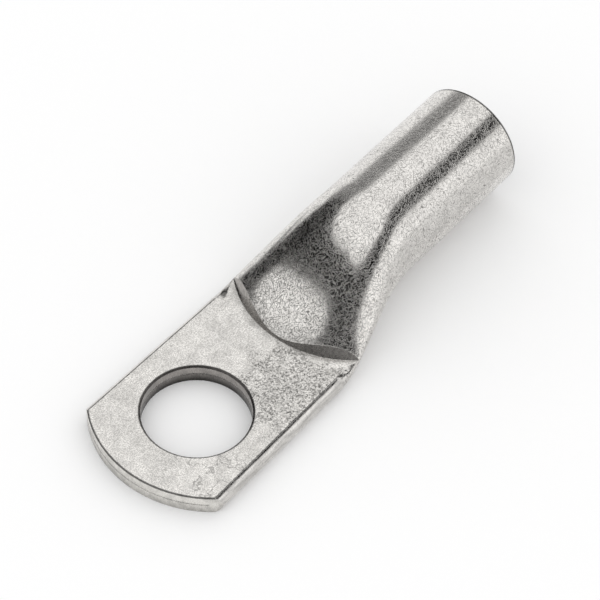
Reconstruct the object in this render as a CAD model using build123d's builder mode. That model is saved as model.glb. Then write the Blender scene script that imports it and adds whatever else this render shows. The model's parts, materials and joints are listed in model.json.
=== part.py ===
from build123d import *
from math import atan, cos, degrees, pi, radians, sin, tan
import os

# Driving sizes of the tube, in millimetres
tube_diameter = 11.0
wall = 1.0
barrel_length = 15.5        # straight, round stretch that takes the wire
transition_length = 14.55   # from the round tube down to the crease of the palm
mouth_to_hole = 41.5        # open end of the barrel to the centre of the bolt hole

# Driving sizes of the pressed palm
palm_width = 16.5           # over the side folds, beside the hole
palm_flare = 0.9            # degrees that each side opens towards the tip
seam_gap = 0.08             # hairline left between the two pressed walls
fold_overlap = 0.16         # how far each side fold stands past the pressed faces
hole_diameter = 10.5
tip_to_hole = 9.5
tip_radius = 11.8

# Driving sizes of the die that presses the palm
crease_radius = 11.2
crease_slope = 62.0         # degrees of the smooth strip that the die's edge leaves

# Broken edges
hole_break = 0.15
mouth_break = 0.15
bore_lead_in = 0.3

# How the section changes along the transition
top_onset = 1.13            # above 1 the top's slope builds up over a short way from the crease
top_ease = 2.33             # higher levels the top out more gently towards the barrel
widest_onset = 1.7          # the widest line stays low for longer than the top
widest_ease = 2.95
side_fullness = 0.06        # of the sides: 0 comes to a point, 1 is a half round
crown_onset = 20            # higher turns the flat top into a crown in a shorter way
underside_lift = 0.12       # the middle of the transition clears the bench by this much
station_count = 11
station_crowding = 1.5      # above 1 puts more of the stations near the crease

# Worked-out sizes
tube_radius = tube_diameter / 2
palm_thickness = 2 * wall + seam_gap
barrel_start = mouth_to_hole - barrel_length
transition_start = barrel_start - transition_length
crease_centre = transition_start + crease_radius
tip_centre = tip_radius - tip_to_hole
overrun = tube_diameter     # tools reach this far past what they cut


def palm_half_width(x):
    """Half the width over the side folds, x millimetres from the hole."""
    return palm_width / 2 - x * tan(radians(palm_flare))


def ease(share):
    """Smooth step from 0 to 1."""
    return share * share * (3 - 2 * share)


def flattened_outline(half_width, low, widest, top, low_fullness, top_fullness):
    """Outline of a half-flattened tube: a crown above and below, joined by side arcs.

    The side arcs meet at the widest height. With fullness 1 they are half rounds and the
    crown between them is straight. With less they are tighter and the crown is arched.
    """
    edges = []
    for side, height, fullness in ((1, top - widest, top_fullness), (-1, widest - low, low_fullness)):
        pointed_turn = 90 - 2 * degrees(atan(height / half_width))
        turn = pointed_turn + (90 - pointed_turn) * fullness
        across = cos(radians(turn))
        along = sin(radians(turn))
        if fullness < 1:
            side_radius = (height * across - half_width * (1 - along)) / (across + along - 1)
        else:
            side_radius = height
        side_centre = half_width - side_radius
        join_y = side_centre + side_radius * across
        join_z = widest + side * side_radius * along
        halfway_y = side_centre + side_radius * cos(radians(turn / 2))
        halfway_z = widest + side * side_radius * sin(radians(turn / 2))
        edges.append(ThreePointArc((half_width, widest), (halfway_y, halfway_z), (join_y, join_z)))
        if fullness < 1:
            crown = (0, widest + side * height)
            edges.append(ThreePointArc((join_y, join_z), crown, (-join_y, join_z)))
        else:
            edges.append(Line((join_y, join_z), (-join_y, join_z)))
        edges.append(ThreePointArc((-join_y, join_z), (-halfway_y, halfway_z), (-half_width, widest)))
    return make_face(edges)


def fullness_at(share, onset):
    """Fullness of the side arcs: 1 at the palm, then that of the sides, a circle's at the barrel."""
    circle_fullness = 0.5
    return (
        side_fullness
        + (1 - side_fullness) * (1 - share) ** onset
        + (circle_fullness - side_fullness) * share**3
    )


def settle(share, onset, gentleness):
    """Change from 0 to 1 that starts at once and levels out at the end."""
    return 1 - (1 - share**onset) ** gentleness


def section(x, inset):
    """Section of the tube at x, with inset 0 for its outside and wall for its inside."""
    share = max(0, (x - transition_start) / transition_length)
    start_top = palm_thickness + fold_overlap
    start_middle = palm_thickness / 2
    top = start_top + settle(share, top_onset, top_ease) * (tube_diameter - start_top)
    low = underside_lift * sin(pi * share) - fold_overlap * (1 - share)
    widest = start_middle + settle(share, widest_onset, widest_ease) * (tube_radius - start_middle)
    half_width = palm_half_width(x) + ease(share) * (tube_radius - palm_half_width(x))
    outline = flattened_outline(
        half_width - inset,
        low + inset,
        widest,
        top - inset,
        fullness_at(share, 1),
        fullness_at(share, crown_onset),
    )
    return Plane.YZ.offset(x) * outline


def flattened_tube(inset):
    """Solid inside the tube's outer skin, or inside its bore, before the dies close."""
    shares = [(n / (station_count - 1)) ** station_crowding for n in range(station_count)]
    palm = [section(x, inset) for x in (-tip_to_hole - overrun, transition_start)]
    transition = [section(transition_start + transition_length * share, inset) for share in shares]
    with BuildPart() as blank:
        loft(palm, ruled=True)
        loft(transition)
        with BuildSketch(Plane.YZ.offset(barrel_start)):
            with Locations((0, tube_radius)):
                Circle(tube_radius - inset)
        extrude(amount=barrel_length)
    return blank.part


def dies(inset):
    """Upper die with its curved, bevelled edge, and the flat lower die."""
    level = palm_thickness - inset
    edge = crease_radius - inset * tan(radians(crease_slope / 2))
    height = tube_diameter
    with BuildPart() as upper:
        with BuildSketch(Plane((crease_centre, 0, 0), x_dir=(0, -1, 0), z_dir=(-1, 0, 0))):
            with BuildLine():
                Polyline(
                    (edge, level),
                    (crease_centre + tip_to_hole + overrun, level),
                    (crease_centre + tip_to_hole + overrun, level + height),
                    (edge - height / tan(radians(crease_slope)), level + height),
                    close=True,
                )
            make_face()
        revolve(axis=Axis((crease_centre, 0, 0), (0, 0, -1)), revolution_arc=180)
    with BuildPart() as lower:
        with Locations((transition_start + transition_length / 2, 0, inset)):
            Box(
                tip_to_hole + transition_length + 3 * overrun,
                palm_width + overrun,
                overrun,
                align=(Align.MAX, Align.CENTER, Align.MAX),
            )
    return upper.part, lower.part


def pressed(inset):
    """The flattened tube, or its bore, with the dies closed on the palm."""
    blank = flattened_tube(inset)
    upper, lower = dies(inset)
    with BuildPart() as shape:
        add(blank)
        add(upper, mode=Mode.SUBTRACT)
        add(lower, mode=Mode.SUBTRACT)
    return shape.part


os.makedirs("parts", exist_ok=True)

outside = pressed(0)
inside = pressed(wall)

with BuildPart() as tube_lug:
    add(outside)
    add(inside, mode=Mode.SUBTRACT)

    # Rounded end, sheared straight through both walls
    with BuildSketch(Plane.XY.offset(-overrun)):
        with Locations((tip_centre, 0)):
            Rectangle(tip_radius + 2 * overrun, 2 * tip_radius, align=(Align.MAX, Align.CENTER))
            Circle(tip_radius, mode=Mode.SUBTRACT)
    extrude(amount=2 * overrun, mode=Mode.SUBTRACT)

    # Punched bolt hole, its upper rim broken
    with Locations((0, 0, palm_thickness)):
        Hole(hole_diameter / 2)
    hole_rims = tube_lug.edges(Select.LAST).filter_by(GeomType.CIRCLE)
    chamfer(hole_rims.sort_by(Axis.Z)[-1], hole_break)

    # Cut mouth of the barrel
    chamfer(tube_lug.faces().sort_by(Axis.X)[-1].outer_wire().edges(), mouth_break)
    chamfer(tube_lug.faces().sort_by(Axis.X)[-1].inner_wires()[0].edges(), bore_lead_in)

tube_lug.part.label = "tube_lug"
export_step(tube_lug.part, "parts/tube_lug.step")
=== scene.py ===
import json
import math

import bpy
from mathutils import Matrix, Vector


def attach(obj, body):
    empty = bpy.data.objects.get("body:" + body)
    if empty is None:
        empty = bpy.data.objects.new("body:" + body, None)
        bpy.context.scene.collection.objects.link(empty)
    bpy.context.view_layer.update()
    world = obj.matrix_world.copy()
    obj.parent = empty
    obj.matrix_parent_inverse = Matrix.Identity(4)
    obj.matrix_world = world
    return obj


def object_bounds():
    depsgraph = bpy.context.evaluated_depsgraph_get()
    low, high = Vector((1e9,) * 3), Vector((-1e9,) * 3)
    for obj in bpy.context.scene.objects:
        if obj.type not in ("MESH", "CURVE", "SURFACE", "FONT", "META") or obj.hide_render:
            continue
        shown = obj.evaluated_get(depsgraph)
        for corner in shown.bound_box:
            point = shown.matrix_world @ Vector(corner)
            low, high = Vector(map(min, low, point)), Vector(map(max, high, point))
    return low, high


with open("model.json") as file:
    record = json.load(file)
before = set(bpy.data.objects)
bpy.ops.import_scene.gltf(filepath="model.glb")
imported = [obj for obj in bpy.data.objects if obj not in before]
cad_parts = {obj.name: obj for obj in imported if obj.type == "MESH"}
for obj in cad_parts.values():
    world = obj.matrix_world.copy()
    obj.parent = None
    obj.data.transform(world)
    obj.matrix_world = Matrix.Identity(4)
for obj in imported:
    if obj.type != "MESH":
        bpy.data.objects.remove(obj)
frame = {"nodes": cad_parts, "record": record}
cad_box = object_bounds()
lug = frame["nodes"]["tube_lug"]
mounts = {mount["name"]: mount for mount in frame["record"]["mounts"]}

MM = 0.001

# The photograph's camera, in degrees and millimetres of the lug's own frame
CAMERA_AZIMUTH = -52.573
CAMERA_ELEVATION = 50.733
CAMERA_ROLL = 2.505
CAMERA_DISTANCE = 324.69
CAMERA_TARGET = Vector((16.509, 1.116, 2.168))
IMAGE_SIDE = 600
FOCAL_PIXELS = 3400.84
SENSOR = 36.0

# The cards round the overhead opening of the light tent: their lower and upper edges in
# degrees above the horizon, by direction in degrees from +X towards +Y, and their shades
CARD_RADIUS = 900 * MM
CARD_STEP = 5
BLACK_BOTTOM = {
    68: 10, 78: 2, 90: 0, 105: 3, 118: 22, 135: 30, 155: 37,
    180: 41, 210: 35, 240: 32, 270: 29, 300: 27, 320: 31, 360: 28,
}
BLACK_TOP = {
    68: 44, 90: 51, 120: 58, 150: 64, 180: 67, 200: 67,
    220: 60, 240: 55, 270: 51, 300: 48, 320: 50, 360: 42,
}
BLACK_SHADE = 0.01
GREY_BOTTOM = {20: 20, 45: 20, 60: 6, 68: 2}
GREY_TOP = {20: 38, 45: 42, 60: 45, 68: 46}
GREY_SHADE = 0.20
LOW_BOTTOM = {95: 0, 240: 0}
LOW_TOP = {95: 10, 150: 12, 200: 22, 225: 20, 240: 14}
LOW_SHADE = 0.15

# The white floor and the two cards that lie on it: their least and greatest X and Y in
# metres, and their shades
FLOOR_LOW = (-3.0, -3.0)
FLOOR_HIGH = (3.0, 3.0)
FLOOR_SHADE = 1.0
# The near card is painted shadow: a grey sheet, seen only in the metal's gloss, that stands in for
# the lug's shadow on the floor beside it
NEAR_LOW = (-500 * MM, -600 * MM)
NEAR_HIGH = (600 * MM, -8.6 * MM)
NEAR_SHADOW_GREY = 0.78
FAR_LOW = (-300 * MM, 38 * MM)
FAR_HIGH = (36 * MM, 600 * MM)
FAR_SHADE = 0.06
CARD_LIFT = 0.03 * MM

# Places on the lug that the frame states, in millimetres
HOLE_RADIUS = mounts["bolt_hole"]["dims"]["r_mm"]
PALM_TOP = mounts["washer_face"]["pos_m"][2] / MM
MOUTH = cad_box[1][0] / MM
TIP = cad_box[0][0] / MM

# Other places on the lug, worked out as in its source, in millimetres and degrees
HOLE_BREAK = 0.15
WALL = 1.0
SLIT_LOW = WALL
SLIT_HIGH = PALM_TOP - WALL
TIP_RADIUS = 11.8
TIP_CENTRE = TIP + TIP_RADIUS
CREASE_START = 11.45
CREASE_RADIUS = 11.2
CREASE_CENTRE = CREASE_START + CREASE_RADIUS
STRIP_TILT = 62.0
STRIP_REACH = 5.0       # along X, from the start of the crease to past its ends
PALM_FLARE = 0.9        # that each side opens towards the tip
SIDE_SLOPE = math.tan(math.radians(PALM_FLARE))
SIDE_LINE = 7.649       # beside the hole, from the middle to where the pressed top meets the fold

# Beside the crease the pressed top dips, within these places in millimetres
DIP_START = 10.9
DIP_END = 14.4
DIP_BOTTOM = 1.5

# Where the palm is roughest, and where its skin has fine cracks
ROUGH_SPOT = (8.0 * MM, -5.5 * MM, PALM_TOP * MM)
CRACK_SPOT = (-5.5 * MM, -6.5 * MM, PALM_TOP * MM)

# The finishes of the lug's faces, by their place in its list of materials
PLATING, PALM, STRIP, HOLE_WALL, TIP_WALL = range(5)

# Most of the random noise lies between these values, round its middle
NOISE_LOW = 0.35
NOISE_MIDDLE = 0.5
NOISE_HIGH = 0.65

# The shift between two layers of scratches, in millimetres: far more than one cell
LAYER_SHIFT = (11, 7, 19)


# The camera and the studio

def photo_camera():
    """The camera at the photograph's place, with its own slight roll."""
    azimuth = math.radians(CAMERA_AZIMUTH)
    elevation = math.radians(CAMERA_ELEVATION)
    roll = math.radians(CAMERA_ROLL)
    back = Vector((
        math.sin(azimuth) * math.cos(elevation),
        -math.cos(azimuth) * math.cos(elevation),
        math.sin(elevation),
    ))
    level_right = Vector((math.cos(azimuth), math.sin(azimuth), 0))
    level_up = back.cross(level_right)
    right = level_right * math.cos(roll) + level_up * math.sin(roll)
    up = level_up * math.cos(roll) - level_right * math.sin(roll)
    data = bpy.data.cameras.new("photo_camera")
    data.sensor_width = SENSOR
    data.lens = FOCAL_PIXELS / IMAGE_SIDE * SENSOR
    data.clip_start = 0.01
    data.clip_end = 20
    camera = bpy.data.objects.new("photo_camera", data)
    bpy.context.scene.collection.objects.link(camera)
    turned = Matrix((right, up, back)).transposed().to_4x4()
    camera.matrix_world = Matrix.Translation((CAMERA_TARGET + back * CAMERA_DISTANCE) * MM) @ turned
    bpy.context.scene.camera = camera


def white_world():
    """Even white light from all round."""
    world = bpy.data.worlds.new("studio")
    bpy.context.scene.world = world
    world.use_nodes = True
    world.node_tree.nodes["Background"].inputs["Color"].default_value = (1, 1, 1, 1)


def matte(name, shade):
    """A plain grey material without gloss."""
    material = bpy.data.materials.new(name)
    material.use_nodes = True
    shader = material.node_tree.nodes["Principled BSDF"]
    shader.inputs["Base Color"].default_value = (shade, shade, shade, 1)
    shader.inputs["Roughness"].default_value = 1
    shader.inputs["Specular IOR Level"].default_value = 0
    return material


def new_object(name, points, faces, material):
    """A mesh object with one material, in the scene."""
    mesh = bpy.data.meshes.new(name)
    mesh.from_pydata(points, [], faces)
    mesh.materials.append(material)
    made = bpy.data.objects.new(name, mesh)
    bpy.context.scene.collection.objects.link(made)
    return made


def only_in_gloss(sheet):
    """Make a sheet of the studio show in the metal's gloss and nowhere else."""
    sheet.visible_camera = False
    sheet.visible_diffuse = False
    sheet.visible_shadow = False


def between(levels, direction):
    """A smooth value between those given at a few directions, all in degrees."""
    stops = sorted(levels)
    for start, end in zip(stops, stops[1:]):
        if start <= direction <= end:
            share = (direction - start) / (end - start)
            share = share * share * (3 - 2 * share)
            return levels[start] * (1 - share) + levels[end] * share


def hanging_card(name, bottom, top, shade):
    """A curved card round the lug, which shows only in the metal's gloss."""
    start = min(bottom)
    steps = math.ceil((max(bottom) - start) / CARD_STEP)
    points = []
    for step in range(steps + 1):
        direction = start + (max(bottom) - start) * step / steps
        turn = math.radians(direction)
        for level in (between(bottom, direction), between(top, direction)):
            rise = math.radians(level)
            points.append((
                CARD_RADIUS * math.cos(turn) * math.cos(rise),
                CARD_RADIUS * math.sin(turn) * math.cos(rise),
                CARD_RADIUS * math.sin(rise),
            ))
    faces = [(low, low + 2, low + 3, low + 1) for low in range(0, len(points) - 2, 2)]
    only_in_gloss(new_object(name, points, faces, matte(name, shade)))


def level_sheet(name, low, high, height, material):
    """A level rectangle between its least and greatest X and Y."""
    points = [
        (low[0], low[1], height),
        (high[0], low[1], height),
        (high[0], high[1], height),
        (low[0], high[1], height),
    ]
    return new_object(name, points, [(0, 1, 2, 3)], material)


def studio():
    """The white floor, the cards round the opening and the cards that lie on the floor, the near
    one a painted shadow.
    """
    level_sheet("floor", FLOOR_LOW, FLOOR_HIGH, 0, matte("white_floor", FLOOR_SHADE))
    hanging_card("black_card", BLACK_BOTTOM, BLACK_TOP, BLACK_SHADE)
    hanging_card("grey_card", GREY_BOTTOM, GREY_TOP, GREY_SHADE)
    hanging_card("low_card", LOW_BOTTOM, LOW_TOP, LOW_SHADE)
    # Painted shadow: the near grey card stands in for the lug's shadow on the floor, as the gloss
    # shows it
    shadow_grey = matte("painted_shadow_grey", NEAR_SHADOW_GREY)
    only_in_gloss(level_sheet("painted_shadow_card", NEAR_LOW, NEAR_HIGH, CARD_LIFT, shadow_grey))
    far_grey = matte("far_grey", FAR_SHADE)
    only_in_gloss(level_sheet("far_card", FAR_LOW, FAR_HIGH, CARD_LIFT, far_grey))


# Building blocks of the finishes

def join(tree, value, socket):
    """Give a socket its value, which is another socket or a number or triple."""
    if isinstance(value, bpy.types.NodeSocket):
        tree.links.new(value, socket)
    else:
        socket.default_value = value


def math_node(tree, operation, first, second=0.0):
    """The result of an operation on one or two numbers."""
    node = tree.nodes.new("ShaderNodeMath")
    node.operation = operation
    join(tree, first, node.inputs[0])
    join(tree, second, node.inputs[1])
    return node.outputs[0]


def vector_node(tree, operation, first, second=(0.0, 0.0, 0.0)):
    """The result of an operation on one or two triples."""
    node = tree.nodes.new("ShaderNodeVectorMath")
    node.operation = operation
    join(tree, first, node.inputs[0])
    join(tree, second, node.inputs[1])
    return node.outputs["Value"] if operation in ("DOT_PRODUCT", "LENGTH") else node.outputs[0]


def product(tree, patterns):
    """All the patterns times each other."""
    total = patterns[0]
    for pattern in patterns[1:]:
        total = math_node(tree, "MULTIPLY", total, pattern)
    return total


def distance(tree, place, point):
    """How far a place is from a point."""
    return vector_node(tree, "LENGTH", vector_node(tree, "SUBTRACT", place, point))


def axis(tree, place, name):
    """One coordinate of a place."""
    node = tree.nodes.new("ShaderNodeSeparateXYZ")
    join(tree, place, node.inputs[0])
    return node.outputs[name]


def ramp(tree, value, start, end, low=0.0, high=1.0):
    """Smooth change from low to high while the value goes from start to end."""
    node = tree.nodes.new("ShaderNodeMapRange")
    node.interpolation_type = "SMOOTHSTEP"
    join(tree, value, node.inputs["Value"])
    for name, number in zip(("From Min", "From Max", "To Min", "To Max"), (start, end, low, high)):
        join(tree, number, node.inputs[name])
    return node.outputs[0]


def scaled(tree, place, size):
    """The place in units of a size."""
    node = tree.nodes.new("ShaderNodeVectorMath")
    node.operation = "SCALE"
    join(tree, place, node.inputs[0])
    node.inputs["Scale"].default_value = 1 / size
    return node.outputs[0]


def noise(tree, place, size, detail=2.0):
    """Random blotches of about the given size."""
    node = tree.nodes.new("ShaderNodeTexNoise")
    join(tree, scaled(tree, place, size), node.inputs["Vector"])
    node.inputs["Scale"].default_value = 1
    node.inputs["Detail"].default_value = detail
    return node.outputs["Fac"]


def mottled(tree, place, size, low, high, detail=2.0):
    """A pattern that wanders between two values, in blotches of a size."""
    return ramp(tree, noise(tree, place, size, detail), NOISE_LOW, NOISE_HIGH, low, high)


def specks(tree, place, size, start, full, shade):
    """Specks of a shade where the noise passes a start, at their darkest where it is full."""
    return ramp(tree, noise(tree, place, size), start, full, 1.0, shade)


def ragged(tree, place, value, size, wander):
    """A distance that wanders in and out, so that a line drawn from it isn't even."""
    wave = math_node(tree, "SUBTRACT", noise(tree, place, size), NOISE_MIDDLE)
    return math_node(tree, "ADD", value, math_node(tree, "MULTIPLY", wave, wander))


def needle_layer(tree, place, spacing, length, width, shift):
    """Short straight scratches in random directions: 1 in a scratch's middle, 0 outside it.

    Each cell of a random pattern holds one plane, tilted at random, and the scratch is
    the line in which that plane meets the surface, within half a length of the cell's centre.
    It fades out over the last part of that half.
    """
    fade_start = 0.7
    cell_place = scaled(tree, vector_node(tree, "ADD", place, shift), spacing)
    cells = tree.nodes.new("ShaderNodeTexVoronoi")
    cells.inputs["Scale"].default_value = 1
    join(tree, cell_place, cells.inputs["Vector"])
    offset = vector_node(tree, "SUBTRACT", cell_place, cells.outputs["Position"])
    centred = vector_node(tree, "SUBTRACT", cells.outputs["Color"], (0.5, 0.5, 0.5))
    tilt = vector_node(tree, "NORMALIZE", centred)
    across = math_node(tree, "ABSOLUTE", vector_node(tree, "DOT_PRODUCT", offset, tilt))
    away = vector_node(tree, "LENGTH", offset)
    inside = ramp(tree, across, 0, width / 2 / spacing, 1, 0)
    window = ramp(tree, away, fade_start * length / 2 / spacing, length / 2 / spacing, 1, 0)
    return math_node(tree, "MULTIPLY", inside, window)


def needles(tree, place, layers, spacing, length, width):
    """Several layers of scratches over each other, each from another part of the pattern."""
    total = None
    for number in range(layers):
        shift = tuple(part * number * MM for part in LAYER_SHIFT)
        layer = needle_layer(tree, place, spacing, length, width, shift)
        total = layer if total is None else math_node(tree, "ADD", total, layer)
    return total


def metal(name):
    """A new metallic material, its tree, its shader and the place on the lug."""
    material = bpy.data.materials.new(name)
    material.use_nodes = True
    tree = material.node_tree
    shader = tree.nodes["Principled BSDF"]
    shader.inputs["Metallic"].default_value = 1
    return material, tree, shader, tree.nodes.new("ShaderNodeTexCoord").outputs["Object"]


def rounded(tree, radius):
    """The normal of the surface with its edges rounded."""
    bevel = tree.nodes.new("ShaderNodeBevel")
    bevel.samples = 6
    bevel.inputs["Radius"].default_value = radius
    return bevel.outputs[0]


def turned_away(tree, normal):
    """How much a rounded normal turns away from the surface's own: 0 off the edges."""
    geometry = tree.nodes.new("ShaderNodeNewGeometry")
    along = vector_node(tree, "DOT_PRODUCT", normal, geometry.outputs["Normal"])
    return math_node(tree, "SUBTRACT", 1.0, along)


def tinted(tree, shader, colour, patterns):
    """The colour times all the grey patterns, as the shader's base colour."""
    shader.inputs["Base Color"].default_value = (*colour, 1)
    mixed = vector_node(tree, "MULTIPLY", colour, product(tree, patterns))
    join(tree, mixed, shader.inputs["Base Color"])


def bumped(tree, shader, height, depth, normal):
    """Relief of a depth on the normal."""
    bump = tree.nodes.new("ShaderNodeBump")
    bump.inputs["Strength"].default_value = 1
    bump.inputs["Distance"].default_value = depth
    join(tree, height, bump.inputs["Height"])
    join(tree, normal, bump.inputs["Normal"])
    join(tree, bump.outputs["Normal"], shader.inputs["Normal"])


def scratched(tree, marks, grain, grain_share):
    """A height of fine grain, with the marks cut into it."""
    return math_node(tree, "SUBTRACT", math_node(tree, "MULTIPLY", grain, grain_share), marks)


def beyond_side_line(tree, place):
    """How far a place of the palm lies outside the line where its top meets the side fold."""
    out = math_node(tree, "ABSOLUTE", axis(tree, place, "Y"))
    flare = math_node(tree, "MULTIPLY", axis(tree, place, "X"), SIDE_SLOPE)
    return math_node(tree, "SUBTRACT", math_node(tree, "ADD", out, flare), SIDE_LINE * MM)


def inside_rims(tree, place):
    """How far inside the nearest rim of the palm's top a place lies."""
    flat = vector_node(tree, "MULTIPLY", place, (1.0, 1.0, 0.0))
    from_centre = vector_node(tree, "LENGTH", flat)
    from_hole = math_node(tree, "SUBTRACT", from_centre, (HOLE_RADIUS + HOLE_BREAK) * MM)

    # The tip's arc counts on its own side of its centre, and its line lies a little inside it
    line_inset = 0.09
    any_y = 1.0
    shifted = vector_node(tree, "SUBTRACT", flat, (TIP_CENTRE * MM, 0.0, 0.0))
    tipward = vector_node(tree, "MINIMUM", shifted, (0.0, any_y, 0.0))
    from_tip_centre = vector_node(tree, "LENGTH", tipward)
    from_tip = math_node(tree, "SUBTRACT", (TIP_RADIUS - line_inset) * MM, from_tip_centre)

    # The side line fades out as it comes to the ends of the crease
    out_of_reach = 2 * MM
    from_side = math_node(tree, "MULTIPLY", beyond_side_line(tree, place), -1.0)
    faded = ramp(tree, axis(tree, place, "X"), 12.9 * MM, 13.7 * MM, 0.0, out_of_reach)
    from_side = math_node(tree, "ADD", from_side, faded)
    return math_node(tree, "MINIMUM", math_node(tree, "MINIMUM", from_hole, from_tip), from_side)


# The finishes

def tinned():
    """Satin tin plating, covered in tumbling marks and grey specks."""
    material, tree, shader, place = metal("tinned_copper")

    # fold is 1 on the folds beside the palm, and flank is 1 on the side towards the camera
    along = axis(tree, place, "X")
    fold = ramp(tree, along, 9 * MM, 14 * MM, 1.0, 0.0)
    flank = ramp(tree, axis(tree, place, "Y"), -5 * MM, -2.5 * MM, 1.0, 0.0)

    # Tumbling marks: fainter on the folds, and darker on the near flank as painted shade
    marks = needles(tree, place, layers=5, spacing=0.34 * MM, length=0.44 * MM, width=0.042 * MM)
    marks = math_node(tree, "MULTIPLY", marks, ramp(tree, fold, 0, 1, 1.0, 0.25))
    # The marks' own tone, made darker on the near flank as painted shade
    mark_tone_and_painted_shade = ramp(tree, flank, 0, 1, 0.56, 0.46)
    ticks = ramp(tree, marks, 0.1, 0.8, 1.0, mark_tone_and_painted_shade)
    normal = rounded(tree, 0.16 * MM)
    relief = scratched(tree, marks, noise(tree, place, 0.07 * MM), grain_share=0.15)
    bumped(tree, shader, relief, 0.0034 * MM, normal)

    # Specks and clouds all over, and streaks where the die has rubbed the folds
    small_specks = specks(tree, place, size=0.16 * MM, start=0.54, full=0.68, shade=0.78)
    cloud = mottled(tree, place, size=1.6 * MM, low=0.90, high=1.0)
    drawn_out = vector_node(tree, "MULTIPLY", place, (0.12, 1.0, 1.0))
    streaks = mottled(tree, drawn_out, size=0.25 * MM, low=0.72, high=0.95)
    rubbed = math_node(tree, "MAXIMUM", streaks, ramp(tree, fold, 0, 1, 1.0, 0.0))

    # Painted shade as dark lines on the edges, fainter by the palm, and as a dark line along the
    # palm's side; a dark line round the mouth
    edge_shade = ramp(tree, along, 14 * MM, 16 * MM, 0.85, 0.4)
    painted_edge_shade = ramp(tree, turned_away(tree, normal), 0.01, 0.12, 1.0, edge_shade)
    side = math_node(tree, "ABSOLUTE", beyond_side_line(tree, place))
    side = math_node(tree, "ADD", side, ramp(tree, fold, 0.5, 1, 1 * MM, 0.0))
    side = ragged(tree, place, side, size=0.3 * MM, wander=0.06 * MM)
    # Painted shade along the line where the palm's top meets its fold
    side_line = ramp(tree, side, 0.0, 0.05 * MM, 0.4, 1.0)
    mouth_line = ramp(tree, along, (MOUTH - 0.34) * MM, (MOUTH - 0.26) * MM, 1.0, 0.2)

    colour = (0.90, 0.875, 0.84)
    patterns = [ticks, small_specks, cloud, painted_edge_shade, side_line, mouth_line, rubbed]
    tinted(tree, shader, colour, patterns)
    smooth = mottled(tree, place, size=0.5 * MM, low=0.14, high=0.20)
    join(tree, ramp(tree, marks, 0.1, 0.7, smooth, 0.50), shader.inputs["Roughness"])
    return material


def pressed():
    """The palm's flat top: the die has flattened most marks, apart from those by the crease."""
    material, tree, shader, place = metal("pressed_palm")
    wander = math_node(tree, "MULTIPLY", noise(tree, place, 1.5 * MM), 9 * MM)
    from_spot = math_node(tree, "ADD", distance(tree, place, ROUGH_SPOT), wander)
    rough_spot = ramp(tree, from_spot, 6.5 * MM, 12 * MM, 1.0, 0.0)

    # Marks, faint away from the rough spot
    marks = needles(tree, place, layers=4, spacing=0.32 * MM, length=0.36 * MM, width=0.06 * MM)
    marks = math_node(tree, "MULTIPLY", marks, ramp(tree, rough_spot, 0, 1, 0.2, 1.0))
    ticks = ramp(tree, marks, 0.1, 0.9, 1.0, 0.6)
    normal = rounded(tree, 0.16 * MM)
    relief = scratched(tree, marks, noise(tree, place, 0.16 * MM), grain_share=0.5)
    bumped(tree, shader, relief, 0.008 * MM, normal)

    # Fine grain, specks that are darkest in the rough spot, and clouds
    fine = ramp(tree, noise(tree, place, 0.14 * MM), 0.40, 0.60, 0.74, 1.0)
    speck_shade = ramp(tree, rough_spot, 0, 1, 0.87, 0.42)
    dark_specks = specks(tree, place, size=0.20 * MM, start=0.50, full=0.64, shade=speck_shade)
    cloud = mottled(tree, place, size=1.5 * MM, low=0.86, high=1.0, detail=4)

    # Hairline cracks run where the noise is at its middle, round one spot
    web = noise(tree, place, size=2.4 * MM, detail=4)
    from_middle = math_node(tree, "SUBTRACT", web, NOISE_MIDDLE)
    from_middle = math_node(tree, "ABSOLUTE", from_middle)
    crack_shade = ramp(tree, distance(tree, place, CRACK_SPOT), 2.5 * MM, 6 * MM, 0.60, 1.0)
    cracks = ramp(tree, from_middle, 0.003, 0.018, crack_shade, 1.0)

    # Painted shade along the crease, and painted shade as dark lines on the rims
    arc_centre = (CREASE_CENTRE * MM, 0.0, PALM_TOP * MM)
    from_centre = distance(tree, place, arc_centre)
    from_crease = math_node(tree, "SUBTRACT", from_centre, CREASE_RADIUS * MM)
    from_crease = ragged(tree, place, from_crease, size=0.8 * MM, wander=1.2 * MM)
    crease_shade = ramp(tree, from_crease, 0.0, 0.8 * MM, 0.72, 1.0)
    rim = ragged(tree, place, inside_rims(tree, place), size=0.3 * MM, wander=0.10 * MM)
    painted_rim_shade = ramp(tree, rim, 0.02 * MM, 0.12 * MM, 0.22, 1.0)

    colour = (0.95, 0.925, 0.885)
    patterns = [ticks, fine, dark_specks, cloud, cracks, crease_shade, painted_rim_shade]
    tinted(tree, shader, colour, patterns)
    smooth = mottled(tree, place, size=0.6 * MM, low=0.20, high=0.30)
    join(tree, ramp(tree, marks, 0.2, 0.9, smooth, 0.55), shader.inputs["Roughness"])
    return material


def burnished():
    """The smooth, darker strip that the die's edge rubs along the crease."""
    material, tree, shader, place = metal("burnished_crease")
    normal = rounded(tree, 0.08 * MM)
    bumped(tree, shader, noise(tree, place, 0.10 * MM), 0.003 * MM, normal)
    cloud = mottled(tree, place, size=0.5 * MM, low=0.85, high=1.0)
    # Painted shade: a dark line on the strip's edges
    painted_edge_shade = ramp(tree, turned_away(tree, normal), 0.02, 0.2, 1.0, 0.4)
    colour = (0.42, 0.40, 0.38)
    tinted(tree, shader, colour, [cloud, painted_edge_shade])
    rough = mottled(tree, place, size=0.3 * MM, low=0.22, high=0.30)
    join(tree, rough, shader.inputs["Roughness"])
    return material


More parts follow.
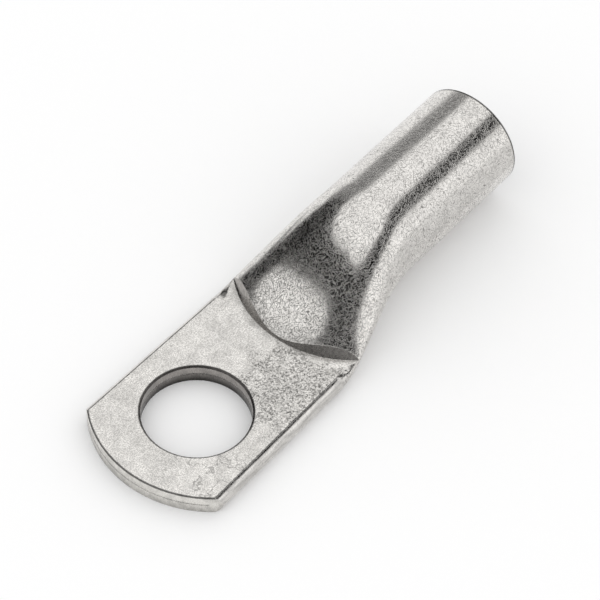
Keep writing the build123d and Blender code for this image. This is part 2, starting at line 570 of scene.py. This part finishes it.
def sheared(name, colour, lower_shade, foot_shade, rim_depth):
    """A cut wall with upright drag marks.

    It has painted shade: a dark line at a depth below the palm's top, and a darker lower layer
    with a shade of its own, which falls off to the foot's.
    """
    material, tree, shader, place = metal(name)
    height = axis(tree, place, "Z")
    upright_stretch = vector_node(tree, "MULTIPLY", place, (1.0, 1.0, 0.15))
    drag = noise(tree, upright_stretch, 0.12 * MM)
    bumped(tree, shader, drag, 0.005 * MM, rounded(tree, 0.16 * MM))
    # Painted shade: the lower layer is darker, and darker still towards the foot
    layer = ramp(tree, height, SLIT_LOW * MM, SLIT_HIGH * MM, lower_shade, 1.0)
    foot = ramp(tree, height, 0.05 * MM, 0.9 * MM, foot_shade, 1.0)
    cloud = mottled(tree, place, size=0.8 * MM, low=0.80, high=1.0)
    # Painted shade: a dark line just below the top rim
    below_rim = math_node(tree, "SUBTRACT", PALM_TOP * MM, height)
    below_rim = ragged(tree, place, below_rim, size=0.3 * MM, wander=0.10 * MM)
    painted_rim_shade = ramp(tree, below_rim, (rim_depth - 0.06) * MM, rim_depth * MM, 0.28, 1.0)
    tinted(tree, shader, colour, [layer, foot, cloud, painted_rim_shade])
    join(tree, ramp(tree, drag, NOISE_LOW, NOISE_HIGH, 0.24, 0.34), shader.inputs["Roughness"])
    return material


# The lug and the one piece that is added to it

def finish_of(face):
    """The finish of one face of the lug, from the place of its middle and its normal."""
    x, y, z = face.center / MM
    normal = face.normal
    tilt = math.degrees(math.acos(max(-1.0, min(1.0, normal.z))))
    outward = Vector((x - CREASE_CENTRE, y, 0)).normalized()

    # How the face stands
    level = tilt < 1
    upright = abs(normal.z) < 0.1
    upward = normal.z > 0.5
    like_strip = abs(tilt - STRIP_TILT) < 2 and normal.dot(outward) > 0.8

    # Where the face is
    slack = 0.02
    rim_slack = 0.1
    on_top = z > PALM_TOP - slack
    inside_line = abs(y) + x * SIDE_SLOPE < SIDE_LINE
    in_dip = DIP_START < x < DIP_END and DIP_BOTTOM < z < PALM_TOP + slack and inside_line
    by_crease = CREASE_START - slack < x < CREASE_START + STRIP_REACH and z > PALM_TOP
    in_hole = math.hypot(x, y) < HOLE_RADIUS + HOLE_BREAK
    on_tip = x < -HOLE_RADIUS and math.hypot(x - TIP_CENTRE, y) > TIP_RADIUS - rim_slack

    if level and on_top:
        return PALM
    if upward and in_dip:
        return PALM
    if like_strip and by_crease:
        return STRIP
    if (upright or upward) and in_hole:
        return HOLE_WALL
    if upright and on_tip:
        return TIP_WALL
    return PLATING


def dress(mesh, finishes):
    """Give each face of the lug its finish."""
    mesh.materials.clear()
    for number in sorted(finishes):
        mesh.materials.append(finishes[number])
    for face in mesh.polygons:
        face.material_index = finish_of(face)


def smear(material):
    """The tin that the shear has dragged over the slit between the two walls at the tip."""
    steps = 48
    half_arc = math.radians(41)
    overlap = 0.03
    outer = TIP_RADIUS - 0.02
    inner = TIP_RADIUS - 0.12
    bottom = SLIT_LOW - overlap
    top = SLIT_HIGH + overlap
    section = [(outer, bottom), (outer, top), (inner, top), (inner, bottom)]
    points = []
    for step in range(steps + 1):
        turn = math.pi - half_arc + 2 * half_arc * step / steps
        for radius, height in section:
            x = TIP_CENTRE + radius * math.cos(turn)
            points.append((x * MM, radius * math.sin(turn) * MM, height * MM))
    corners = len(section)
    last = corners * steps
    faces = [tuple(range(corners)), tuple(range(last + corners - 1, last - 1, -1))]
    for step in range(steps):
        for corner in range(corners):
            start = corners * step + corner
            turned = corners * step + (corner + 1) % corners
            faces.append((start, start + corners, turned + corners, turned))
    piece = new_object("tip_smear", points, faces, material)
    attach(piece, "root")


bpy.context.scene.view_settings.view_transform = "Standard"
photo_camera()
white_world()
studio()

# The tip's cut wall, a little darker on its lower layer and foot as painted shade
tip_wall = sheared(
    "tip_wall", (0.82, 0.80, 0.76), lower_shade=0.92, foot_shade=0.8, rim_depth=0.15
)
# The hole's wall is the same cut wall in painted shade: a darker colour, with a darker lower layer
# and foot
hole_wall = sheared(
    "hole_wall", (0.41, 0.385, 0.365), lower_shade=0.54, foot_shade=0.30, rim_depth=0.22
)
dress(lug.data, {
    PLATING: tinned(),
    PALM: pressed(),
    STRIP: burnished(),
    HOLE_WALL: hole_wall,
    TIP_WALL: tip_wall,
})
smear(tip_wall)
